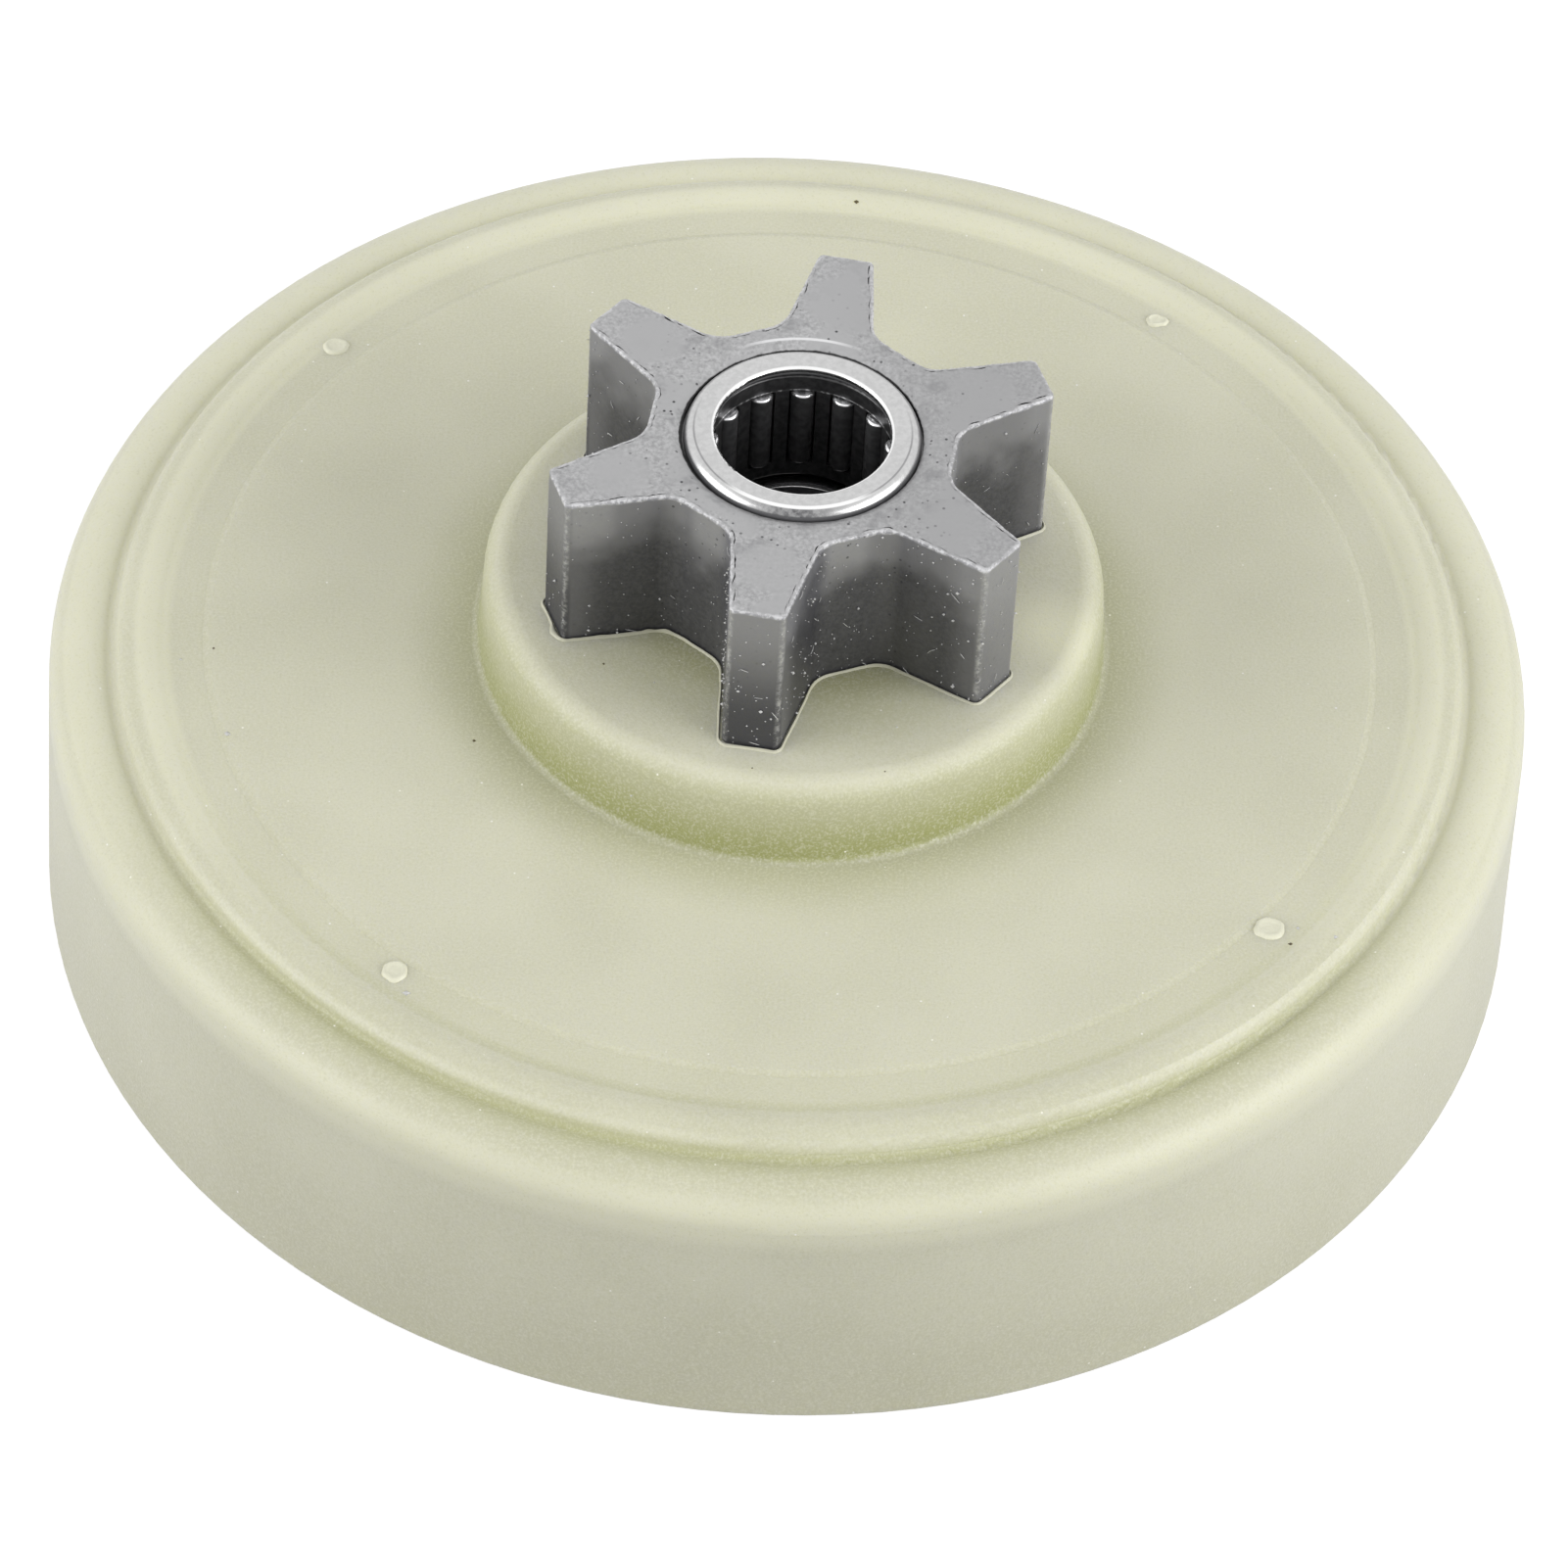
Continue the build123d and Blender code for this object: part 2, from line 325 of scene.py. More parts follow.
def tint_ring(n, colour, radius, height, on_top):
    """Painted shade and light on the raised ring, on the crease and the bead outside it, and on the land
    inside it.
    """
    front = n.ramp(n.place_parts()[1], -8 * MM, -34 * MM)
    # Painted shade: the ring's outer face deepens down to the crease, most at the front, and the shoulder
    # clears outwards.
    crease = n.times(
        n.ramp(height, 19.5 * MM, 17.95 * MM),
        on_top,
        n.ramp(radius, CREASE_RADIUS - 0.45 * MM, CREASE_RADIUS + 0.1 * MM),
        n.between(front, 0.05, 1.0),
        n.ramp(radius, CREASE_RADIUS + 0.3 * MM, CREASE_RADIUS + 2.6 * MM, 0.9, 0.0),
    )
    colour = n.mix(crease, colour, OLIVE_SHADE)
    # Painted light beside the valleys, except at the front, where the nylon is thin and lets light through.
    ring_side_light = n.band(radius, LAND_OUTSIDE - 0.2 * MM, CREASE_RADIUS - 1.6 * MM, 0.6 * MM, 0.55)
    bead_side_light = n.band(radius, CREASE_RADIUS + 0.25 * MM, CREASE_RADIUS + 2.8 * MM, 0.4 * MM, 0.42)
    lit = n.times(n.math("ADD", ring_side_light, bead_side_light), on_top, n.math("SUBTRACT", 1.0, front))
    colour = n.mix(lit, colour, srgb(240, 239, 214))
    # Painted shade: at the front the bead and the ring's crown are duller.
    bead = n.band(radius, CREASE_RADIUS + 0.6 * MM, CREASE_RADIUS + 2.6 * MM, 0.8 * MM, 0.4)
    crown = n.band(radius, LAND_OUTSIDE + 0.8 * MM, CREASE_RADIUS - 0.8 * MM, 0.5 * MM, 0.25)
    for front_shade in (bead, crown):
        colour = n.mix(n.times(front_shade, front, on_top), colour, SHADED_IVORY)
    # Painted shade on the land, most at the front, on the ring's foot beside it, and on the step down to it
    # from the web.
    land = n.band(radius, LAND_INSIDE + 0.6 * MM, LAND_OUTSIDE, 0.5 * MM, 0.25)
    colour = n.mix(n.times(land, on_top, n.between(front, 0.3, 1.0)), colour, srgb(204, 203, 168))
    ring_foot_shade = n.band(radius, LAND_OUTSIDE - 0.35 * MM, LAND_OUTSIDE, 0.4 * MM, 0.3)
    colour = n.mix(n.times(ring_foot_shade, on_top, n.between(front, 0.2, 0.8)), colour, OLIVE_SHADE)
    step_shade = n.band(radius, LAND_INSIDE + 0.05 * MM, LAND_INSIDE + 0.35 * MM, 0.15 * MM, 0.3)
    return n.mix(n.times(step_shade, on_top), colour, srgb(192, 191, 162))


def tint_wall(n, colour, radius, height):
    """Tones of the drum's wall: painted light under its round top edge and painted shade deeper towards the
    foot.
    """
    wall = n.ramp(radius, 42.5 * MM, 43.5 * MM)
    # Painted light under the wall's round top edge.
    glow = n.times(wall, n.band(height, 15.6 * MM, 16.8 * MM, 1.5 * MM, 0.65))
    colour = n.mix(glow, colour, srgb(232, 231, 206))
    # Painted shade, deeper towards the wall's foot.
    low = n.times(wall, n.ramp(height, 14 * MM, 0, 0.0, 0.5))
    return n.mix(low, colour, srgb(186, 184, 158))


def tint_boss(n, colour, radius, height, on_top):
    """Painted shade and light on the boss and on the web round its foot."""
    # Painted shade: the boss's side deepens towards the foot.
    side = n.times(
        n.band(radius, BOSS_RADIUS - 0.5 * MM, BOSS_RADIUS + 0.4 * MM, 0.25 * MM),
        n.ramp(height, BOSS_TOP - 0.9 * MM, WEB_TOP + 0.6 * MM, 0.42, 1.0),
        n.ramp(height, BOSS_TOP, BOSS_TOP - 1.0 * MM),
        on_top,
    )
    colour = n.mix(side, colour, srgb(156, 159, 98))
    # Painted shade on the web round the boss's foot.
    web_foot_shade = n.times(
        n.ramp(radius, BOSS_RADIUS - 0.5 * MM, BOSS_RADIUS + 5.5 * MM, 0.9, 0.0),
        n.band(height, WEB_TOP - 0.1 * MM, WEB_TOP + 0.1 * MM, 0.3 * MM),
    )
    colour = n.mix(web_foot_shade, colour, srgb(177, 177, 143))
    # Painted shade: the boss's top is deeper in front of the star and where it meets the steel.
    star_foot_shade = n.times(
        n.ramp(radius, 17.5 * MM, 11.0 * MM, 0.0, 0.4),
        n.ramp(height, BOSS_TOP - 0.3 * MM, BOSS_TOP - 0.1 * MM),
        n.ramp(n.place_parts()[1], -3 * MM, -10 * MM),
    )
    colour = n.mix(star_foot_shade, colour, OLIVE_SHADE)
    contact_shade = n.times(
        n.ramp(radius, 12.8 * MM, 9.3 * MM, 0.0, 0.75),
        n.band(height, BOSS_TOP - 0.1 * MM, BOSS_TOP, 0.2 * MM),
    )
    colour = n.mix(contact_shade, colour, srgb(158, 158, 104))
    # Painted light: a bright place on the boss, to the right of the star, where the star's shadow falls.
    light_beside_tooth = n.times(
        n.near(math.radians(-15), 15.6 * MM, 4.5 * MM),
        n.ramp(height, 24.0 * MM, 24.6 * MM),
        0.8,
    )
    return n.mix(light_beside_tooth, colour, srgb(244, 243, 214))


def nylon(name, torn=0.0):
    """Natural glass-filled nylon: pale greenish ivory, satin, with a fine grain and bright glass specks.

    Torn is the share of a paler tone, for the flash and the gate marks, which are too thin for light to
    spread in. The flash's "gap" attribute paints shade on it beside the steel.
    """
    n = Nodes(name)
    cloud = n.noise(9 * MM, 1.0)
    colour = n.mix(n.ramp(cloud, 0.3, 0.7), srgb(215, 214, 191), srgb(209, 208, 184))
    radius, height = n.polar()
    on_top = n.ramp(height, TOP_EDGE - 0.4 * MM, TOP_EDGE)
    # Painted shade and light on the ring, the wall and the boss.
    colour = tint_ring(n, colour, radius, height, on_top)
    colour = tint_wall(n, colour, radius, height)
    colour = tint_boss(n, colour, radius, height, on_top)
    grain = n.noise(0.17 * MM, 2.0, 0.7)
    colour = n.mix(n.ramp(grain, 0.4, 0.75, 0.0, 0.5), colour, srgb(226, 225, 208))
    colour = n.mix(n.ramp(grain, 0.45, 0.25, 0.0, 0.35), colour, srgb(192, 190, 158))
    colour = n.mix(n.specks(0.8 * MM, 0.10, 0.11), colour, srgb(246, 245, 236))
    if torn:
        colour = n.mix(torn, colour, srgb(236, 235, 214))
        # Painted shade on the flash beside the steel.
        colour = n.mix(n.attribute("gap"), colour, srgb(60, 56, 40))
    n.set(
        Base_Color=colour,
        Roughness=n.ramp(grain, 0.3, 0.7, 0.5, 0.4),
        Subsurface_Weight=0.0 if torn else 0.4,
        Subsurface_Radius=(1.0, 1.0, 0.5),
        Subsurface_Scale=2.8 * MM,
        Sheen_Weight=0.2,
        Sheen_Roughness=0.5,
        Normal=n.bump(grain, 0.05 * MM, 0.5),
    )
    return n.material


def star_top_tone(n, radius, mottle):
    """The star's ground top: mottled, shaded near the bearing, smooth in the middle of the teeth, and painted
    darker to the right.
    """
    tone = n.mix(n.ramp(mottle, 0.3, 0.7), srgb(158, 158, 159), srgb(194, 194, 195))
    tone = n.mix(n.ramp(n.noise(4 * MM, 2.0), 0.48, 0.6, 0.0, 0.85), tone, SMOOTH_STEEL)
    shade = n.times(
        n.ramp(n.noise(1.6 * MM, 3.0, 0.6), 0.5, 0.7),
        n.ramp(radius, 13 * MM, 8 * MM, 0.15, 0.6),
    )
    tone = n.mix(shade, tone, srgb(138, 138, 140))
    for k in range(TEETH):
        smooth = n.near(CLOCKING + k * 2 * math.pi / TEETH, 11.4 * MM, 3.4 * MM)
        tone = n.mix(n.ramp(smooth, 0.25, 0.6, 0.0, 0.7), tone, SMOOTH_STEEL)
    # Painted shade: the top is darker to the right.
    right = n.ramp(n.place_parts()[0], -1 * MM, 9 * MM, 0.0, 0.35)
    return n.mix(right, tone, srgb(154, 154, 155))


def star_flank_tone(n, radius, height, mottle):
    """The star's flanks, dark partly from their finish and partly as a painted dark reflection: painted shade
    low down and between the teeth, painted light near the top and towards the tips.
    """
    waver = n.times(n.math("SUBTRACT", n.noise(3.2 * MM, 2.0), 0.5), 7 * MM)
    upper = n.ramp(n.math("ADD", height, waver), STAR_TOP - 5.5 * MM, STAR_TOP - 1.0 * MM, 0.0, 0.75)
    outer = n.ramp(radius, TIP_RADIUS - 2.6 * MM, TIP_RADIUS - 0.4 * MM, 0.0, 0.35)
    tone = n.mix(n.math("ADD", upper, outer), srgb(84, 84, 88), srgb(154, 154, 159))
    high = n.ramp(height, STAR_TOP - 4.0 * MM, STAR_TOP - 1.5 * MM)
    for degrees, distance in HIGH_PATCHES:
        patch = n.ramp(n.near(math.radians(degrees), distance * MM, 2.6 * MM), 0.1, 0.7, 0.0, 0.7)
        tone = n.mix(n.times(patch, high), tone, srgb(168, 168, 172))
    low = n.ramp(height, STAR_TOP - 1.0 * MM, STAR_TOP - 4.5 * MM)
    for degrees, distance, level in LOW_PATCHES:
        patch = n.ramp(n.near(math.radians(degrees), distance * MM, 3.4 * MM), 0.1, 0.8, 0.0, 0.6)
        tone = n.mix(n.times(patch, low), tone, srgb(level, level, level + 4))
    tone = n.mix(n.ramp(mottle, 0.35, 0.7, 0.0, 0.18), tone, srgb(150, 150, 152))
    # Painted light on the teeth's tips, lighter upwards and to the right.
    rise = n.ramp(height, BOSS_TOP + 2.0 * MM, STAR_TOP - 0.5 * MM)
    tip_tone = n.mix(rise, srgb(84, 84, 89), srgb(150, 150, 154))
    right = n.ramp(n.place_parts()[0], 8 * MM, 13 * MM, 0.0, 0.6)
    tip_tone = n.mix(right, tip_tone, srgb(172, 172, 176))
    return n.mix(n.ramp(radius, TIP_RADIUS - 0.45 * MM, TIP_RADIUS - 0.1 * MM), tone, tip_tone)


def gap_shade(n, radius, height):
    """1 in the painted shade of the gap round the bearing cup, which is widest on the left and at the back.
    """
    left = n.near(math.radians(195), CUP_RADIUS, 8 * MM)
    back = n.near(math.radians(85), CUP_RADIUS, 10 * MM)
    reach = n.math("SUBTRACT", radius, n.times(left, 0.16 * MM))
    reach = n.math("SUBTRACT", reach, n.times(back, 0.12 * MM))
    uneven = n.times(n.math("SUBTRACT", n.noise(0.5 * MM, 2.0), 0.5), 0.14 * MM)
    return n.times(
        n.ramp(n.math("ADD", reach, uneven), MOUTH_RADIUS - 0.01 * MM, MOUTH_RADIUS + 0.06 * MM, 1.0, 0.0),
        n.ramp(height, MOUTH_BOTTOM, MOUTH_BOTTOM + 0.1 * MM),
    )


def star_steel():
    """Sintered steel, pitted near the bearing, and bright where its edges wear, partly as a painted
    highlight.
    """
    n = Nodes("star_steel")
    radius, height = n.polar()
    top = n.ramp(n.facing_up(), 0.5, 0.9)
    mottle = n.noise(0.26 * MM, 5.0, 0.7)
    colour = n.mix(top, star_flank_tone(n, radius, height, mottle), star_top_tone(n, radius, mottle))
    pits = n.times(
        n.specks(0.45 * MM, 0.45, 0.26),
        n.ramp(radius, 12 * MM, 8 * MM, 0.2, 1.0),
        n.ramp(n.noise(2.2 * MM, 2.0), 0.42, 0.6, 0.15, 1.0),
    )
    colour = n.mix(pits, colour, srgb(66, 66, 68))
    # Worn edges, brightened partly by wear and partly as a painted highlight.
    wear_and_glint = n.times(n.attribute("wear_and_glint"), n.ramp(n.noise(0.3 * MM, 3.0, 0.7), 0.42, 0.6, 0.12, 0.85))
    colour = n.mix(wear_and_glint, colour, srgb(222, 222, 224))
    # Painted shade in the gap round the bearing cup.
    colour = n.mix(n.times(gap_shade(n, radius, height), 0.95), colour, srgb(24, 24, 24))
    # A painted highlight on the countersink's edge behind the bearing, fading to both sides.
    arc_highlight = n.times(
        n.band(radius, 7.84 * MM, 7.97 * MM, 0.08 * MM),
        n.ramp(n.near(math.radians(94), 7.9 * MM, 5.5 * MM), 0.1, 0.85),
        top,
    )
    colour = n.mix(n.times(arc_highlight, 0.8), colour, srgb(236, 236, 237))
    n.set(
        Base_Color=colour,
        Metallic=0.75,
        Roughness=n.ramp(mottle, 0.3, 0.7, 0.44, 0.54),
        Normal=n.bump(mottle, 0.03 * MM, 0.4),
    )
    return n.material


def cup_steel():
    """Bright drawn steel of the bearing cups, with a painted dark reflection on the rounded shoulder at the
    front.
    """
    n = Nodes("cup_steel")
    mottle = n.noise(0.35 * MM, 4.0, 0.6)
    colour = n.mix(n.ramp(mottle, 0.35, 0.65), srgb(200, 200, 200), srgb(210, 210, 210))
    radius, height = n.polar()
    y = n.place_parts()[1]
    # Painted dark reflection on the rounded shoulder at the front.
    dark_reflection = n.times(
        n.near(math.radians(268), CUP_RADIUS, 4.6 * MM),
        n.band(radius, CUP_RADIUS - 0.42 * MM, CUP_RADIUS, 0.12 * MM),
        n.ramp(mottle, 0.35, 0.6, 0.55, 1.0),
    )
    colour = n.mix(dark_reflection, colour, srgb(104, 104, 106))
    # A thin line where the lip's flat ends: painted shade at the sides and a painted highlight at the front.
    shade_line = n.times(
        n.band(radius, CUP_RADIUS - 0.62 * MM, CUP_RADIUS - 0.56 * MM, 0.05 * MM, 0.6),
        n.ramp(y, 3 * MM, -1 * MM),
        n.ramp(y, -5.6 * MM, -4.2 * MM),
    )
    colour = n.mix(shade_line, colour, srgb(120, 120, 122))
    highlight_line = n.times(
        n.band(radius, CUP_RADIUS - 0.66 * MM, CUP_RADIUS - 0.5 * MM, 0.08 * MM),
        n.ramp(y, -4.6 * MM, -5.8 * MM),
    )
    colour = n.mix(highlight_line, colour, (*WHITE, 1.0))
    # A painted highlight on the edge where the lip turns down, and painted shade at the foot where the
    # shoulder meets the star.
    edge = n.ramp(radius, LIP_RADIUS + 0.22 * MM, LIP_RADIUS + 0.12 * MM)
    colour = n.mix(edge, colour, srgb(250, 250, 250))
    foot = n.ramp(radius, CUP_RADIUS - 0.13 * MM, CUP_RADIUS - 0.05 * MM, 0.0, 0.85)
    colour = n.mix(foot, colour, srgb(40, 40, 41))
    # Below its lip the upper cup is oiled, so it is darker and less metallic.
    inside = n.band(height, STAR_TOP - CUP_HEIGHT + 0.8 * MM, STAR_TOP - 0.2 * MM, 0.06 * MM)
    colour = n.mix(inside, colour, srgb(104, 104, 106))
    n.set(
        Base_Color=colour,
        Metallic=n.between(inside, 1.0, 0.4),
        Roughness=n.between(inside, 0.26, 0.46),
        Normal=n.bump(mottle, 0.004 * MM, 0.2),
    )
    return n.material


def cage_steel():
    """Dark oiled sheet steel of the cages, with a broken painted highlight line above the upper needles."""
    n = Nodes("cage_steel")
    mottle = n.noise(0.4 * MM, 4.0, 0.6)
    colour = n.mix(n.ramp(mottle, 0.35, 0.65), srgb(62, 62, 63), srgb(84, 84, 85))
    glint = n.times(
        n.band(n.place_parts()[2], SLOT_TOP - 0.02 * MM, SLOT_TOP + 0.06 * MM, 0.04 * MM),
        n.ramp(n.noise(0.35 * MM, 3.0, 0.7), 0.45, 0.6, 0.1, 1.0),
    )
    colour = n.mix(glint, colour, srgb(225, 225, 226))
    n.set(Base_Color=colour, Metallic=0.5, Roughness=0.3, Normal=n.bump(mottle, 0.01 * MM, 0.3))
    return n.material


def needle_steel():
    """Ground needles under a dark film of oil, with painted highlights on their upward-facing ends."""
    n = Nodes("needle_steel")
    mottle = n.noise(0.5 * MM, 3.0)
    colour = n.mix(n.ramp(mottle, 0.35, 0.65), srgb(78, 78, 79), srgb(94, 94, 95))
    # Painted highlight on the faces that look up.
    colour = n.mix(n.ramp(n.facing_up(), 0.2, 0.6), colour, srgb(240, 240, 242))
    n.set(
        Base_Color=colour,
        Metallic=n.ramp(n.facing_up(), 0.2, 0.6, 0.35, 0.95),
        Roughness=0.25,
        Normal=n.bump(mottle, 0.003 * MM, 0.2),
    )
    return n.material


def dust_material(name, colour):
    """Matt fibres and crumbs, a little uneven in colour."""
    n = Nodes(name)
    darker = tuple(0.75 * level for level in colour[:3]) + (1.0,)
    n.set(Base_Color=n.mix(n.noise(0.08 * MM, 2.0), darker, colour), Roughness=0.8)
    return n.material


def star_corners():
    """Corners of the star's outline, anticlockwise, each with the radius that rounds it."""
    half_tip = TIP_WIDTH / 2
    half_pitch = math.pi / TEETH
    reach = ROOT_FLAT - (half_tip + FLANK_SLOPE * TIP_RADIUS) * math.sin(half_pitch)
    foot_y = reach / (math.cos(half_pitch) - FLANK_SLOPE * math.sin(half_pitch))
    foot_x = half_tip + FLANK_SLOPE * (TIP_RADIUS - foot_y)
    tooth = (
        (Vector((foot_x, foot_y)), ROOT_ROUND),
        (Vector((half_tip, TIP_RADIUS)), TIP_ROUND),
        (Vector((-half_tip, TIP_RADIUS)), TIP_ROUND),
        (Vector((-foot_x, foot_y)), ROOT_ROUND),
    )
    corners = []
    for k in range(TEETH):
        turn = Matrix.Rotation(CLOCKING - math.pi / 2 + k * 2 * half_pitch, 2)
        corners += [(turn @ corner, radius) for corner, radius in tooth]
    return corners


def star_outline():
    """The star's outline: points, their outward directions, and 0 to 1 towards a tip's rounded edge."""
    corners = star_corners()
    arcs = []
    for i, (corner, radius) in enumerate(corners):
        back = (corners[i - 1][0] - corner).normalized()
        onward = (corners[(i + 1) % len(corners)][0] - corner).normalized()
        half = back.angle(onward) / 2
        reach = radius / math.tan(half)
        centre = corner + (back + onward).normalized() * radius / math.sin(half)
        arcs.append((corner + back * reach, corner + onward * reach, centre, radius))
    outline = []
    for i, (start, end, centre, radius) in enumerate(arcs):
        first, last = start - centre, end - centre
        turn = math.atan2(first.cross(last), first.dot(last))
        steps = max(6, math.ceil(abs(turn) * radius / OUTLINE_STEP))
        is_tip = radius == TIP_ROUND
        for k in range(steps):
            direction = Matrix.Rotation(turn * k / steps, 2) @ first / radius
            outward = direction if turn > 0 else -direction
            edge = 1 - abs(2 * k / steps - 1) if is_tip else 0.0
            outline.append((centre + direction * radius, outward, edge))
        run = arcs[(i + 1) % len(arcs)][0] - end
        outward = Vector((run.y, -run.x)).normalized()
        steps = max(1, math.ceil(run.length / OUTLINE_STEP))
        for k in range(steps):
            outline.append((end + run * k / steps, outward, 0.0))
    return outline


def circle_ring(outline, radius, height):
    """A ring at a radius and height, with one point under each point of the outline."""
    return [(*(point.normalized() * radius), height) for point, outward, edge in outline]


def add_star(material):
    """The chain sprocket, with irregular edges that wear has chamfered, in place of the CAD node of the same
    form.
    """
    outline = star_outline()
    rings = []
    wear_and_glint = []

    def add_ring(ring, wear=0.0):
        rings.append(ring)
        wear_and_glint.extend(wear if isinstance(wear, list) else [wear] * len(ring))

    wears = []
    for point, outward, edge in outline:
        place = point.to_3d()
        wear = EDGE_WEAR * (1.1 + 0.7 * rough(place, 0.7 * MM) + 0.4 * rough(place, 0.25 * MM, 3))
        wears.append(min(max(wear, LEAST_WEAR), MOST_WEAR))

    def flank_ring(drop, inset_share, wear_share=0.0):
        """A ring on the flank or on its top edge, which wear has chamfered.

        Up to 1, drop is a share of the local wear, and past that it is mm further down.
        The inset is a share of the local wear too.
        """
        ring = []
        shares = []
        for (point, outward, edge), wear in zip(outline, wears):
            low = wear * min(drop, 1.0) + max(0.0, drop - 1.0) * MM
            waver = 0.02 * MM * rough(Vector((*point, STAR_TOP - low)), 1.6 * MM, 5)
            nick = -0.03 * MM * edge * max(0.0, rough(Vector((*point, STAR_TOP - low)), 0.5 * MM, 9))
            place = point - outward * (wear * inset_share - min(waver, 0.0) - nick)
            ring.append((*place, STAR_TOP - low))
            side = edge * (0.55 + 0.45 * rough(Vector((*point, STAR_TOP - low)), 0.9 * MM, 2))
            shares.append(max(wear_share, side))
        return ring, shares

    # Top face, from the countersink to the worn edge.
    for share in (0.0, 0.25, 0.5, 0.75, 0.9):
        inner = circle_ring(outline, COUNTERSINK_RADIUS, STAR_TOP)
        ring = []
        for (x, y, z), (point, outward, edge), wear in zip(inner, outline, wears):
            target = point - outward * wear
            ring.append((x + (target.x - x) * share, y + (target.y - y) * share, z))
        add_ring(ring)
    add_ring(*flank_ring(0.0, 1.9))
    add_ring(*flank_ring(0.0, 1.0, 0.7))
    add_ring(*flank_ring(0.3, 0.3, 1.0))
    add_ring(*flank_ring(1.0, 0.0, 0.8))
    add_ring(*flank_ring(1.12, 0.0))
    depth = STAR_TOP - BOSS_TOP
    rows = math.ceil(depth / FLANK_STEP)
    for k in range(1, rows + 2):
        add_ring(*flank_ring(1.12 + k * depth / rows / MM, 0.0))
    # The part inside the nylon: the star's underside, the hub and its groove.
    add_ring([(*point, STAR_BOTTOM) for point, outward, edge in outline])
    for radius, height in (
        (HUB_RADIUS, STAR_BOTTOM),
        (HUB_RADIUS, GROOVE_TOP),
        (GROOVE_RADIUS, GROOVE_TOP),
        (GROOVE_RADIUS, GROOVE_BOTTOM),
        (HUB_RADIUS, GROOVE_BOTTOM),
        (HUB_RADIUS, HUB_BOTTOM),
        (CUP_RADIUS, HUB_BOTTOM),
        (CUP_RADIUS, MOUTH_BOTTOM),
        (MOUTH_RADIUS, MOUTH_BOTTOM),
    ):
        add_ring(circle_ring(outline, radius, height))
    mouth = []
    for x, y, z in circle_ring(outline, 1.0, MOUTH_TOP):
        radius = MOUTH_RADIUS + 0.03 * MM * rough(Vector((x, y, 0)) * 7 * MM, 0.8 * MM, 4)
        mouth.append((x * radius, y * radius, z))
    add_ring(mouth)
    points = [point for ring in rings for point in ring]
    faces = ring_faces(len(rings), len(outline))
    star = make_object("chain_sprocket", points, faces, material, smooth_angle=35)
    # Wear share on the edges, which the material brightens partly as a painted highlight.
    attribute = star.data.attributes.new("wear_and_glint", "FLOAT", "POINT")
    attribute.data.foreach_set("value", wear_and_glint)
    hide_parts("sprocket")
    return outline


def add_flash(outline, material):
    """The thin ragged lip of nylon that the mould left round the star's foot."""
    rings = [[] for corner in FLASH_SECTION]
    for point, outward, edge in outline:
        place = point.to_3d()
        angle = math.degrees(math.atan2(point.y, point.x)) % 360
        ragged = max(0.0, 1 - abs(angle - 220) / 14)
        lobe = max(0.0, 1 - abs(angle - 206) / 2.5)
        gap = (0.04 + 0.09 * max(0.0, 1 - abs(angle - 256) / 7) + 0.02 * rough(place, 0.9 * MM, 12)) * MM
        width = (0.18 + 0.06 * rough(place, 1.5 * MM, 1) + 0.3 * lobe) * MM
        frayed = ragged * 0.14 * (0.5 + rough(place, 0.55 * MM, 8))
        height = max(0.13 + 0.045 * rough(place, 2.2 * MM, 6) + frayed, 0.04) * MM
        for ring, (along, up) in zip(rings, FLASH_SECTION):
            flat = point + outward * (gap + width * along)
            ring.append((*flat, BOSS_TOP + height * up))
    points = [point for ring in rings for point in ring]
    faces = ring_faces(len(rings), len(outline))
    flash = make_object("moulding_flash", points, faces, material, smooth_angle=60)
    attribute = flash.data.attributes.new("gap", "FLOAT", "POINT")
    attribute.data.foreach_set("value", [share for share in FLASH_GAP_SHADE for point in outline])


def add_gate_mark(name, angle, radius, length, width, material, seed):
    """The broken stub that an injection gate left on the land: a low rough mound with a torn rim."""
    centre = Vector((radius * math.cos(angle), radius * math.sin(angle), LAND_TOP))
    spokes, hoops = 36, 9
    points = [centre + Vector((0, 0, -0.1 * MM))]
    for hoop in range(hoops):
        share = 1 - hoop / hoops
        for k in range(spokes):
            turn = 2 * math.pi * k / spokes
            ragged = 1 + 0.18 * rough(Vector((math.cos(turn), math.sin(turn), seed)), 0.6)
            flat = Vector((length / 2 * math.cos(turn), width / 2 * math.sin(turn), 0)) * share * ragged
            rim = math.exp(-(((share - 0.72) / 0.16) ** 2))
            lump = 0.5 + 0.5 * rough(flat, 0.35 * MM, seed)
            height = (0.07 + 0.09 * rim + 0.06 * lump) * MM * min(1.0, (1 - share) * 4)
            if hoop == 0:
                height = -0.1 * MM
            points.append(centre + flat + Vector((0, 0, height)))
    points.append(centre + Vector((0, 0, 0.10 * MM)))
    faces = []
    for k in range(spokes):
        after = (k + 1) % spokes
        faces.append((0, 1 + after, 1 + k))
        for hoop in range(hoops - 1):
            low, high = 1 + hoop * spokes, 1 + (hoop + 1) * spokes
            faces.append((low + k, low + after, high + after, high + k))
        last = 1 + (hoops - 1) * spokes
        faces.append((last + k, last + after, len(points) - 1))
    make_object(name, points, faces, material, smooth_angle=50)


def crumb(centre, size, flat, points, faces, rng):
    """Adds one small lumpy crumb, an irregular octahedron, to a mesh's lists."""
    first = len(points)
    for axis in range(3):
        for sign in (-1, 1):
            reach = Vector((0, 0, 0))
            reach[axis] = sign * size * rng.uniform(0.35, 0.6) * (flat if axis == 2 else 1)
            points.append(centre + reach)
    for x in (0, 1):
        for y in (2, 3):
            for z in (4, 5):
                face = (first + x, first + y, first + z)
                faces.append(face if (x + y + z) % 2 else face[::-1])


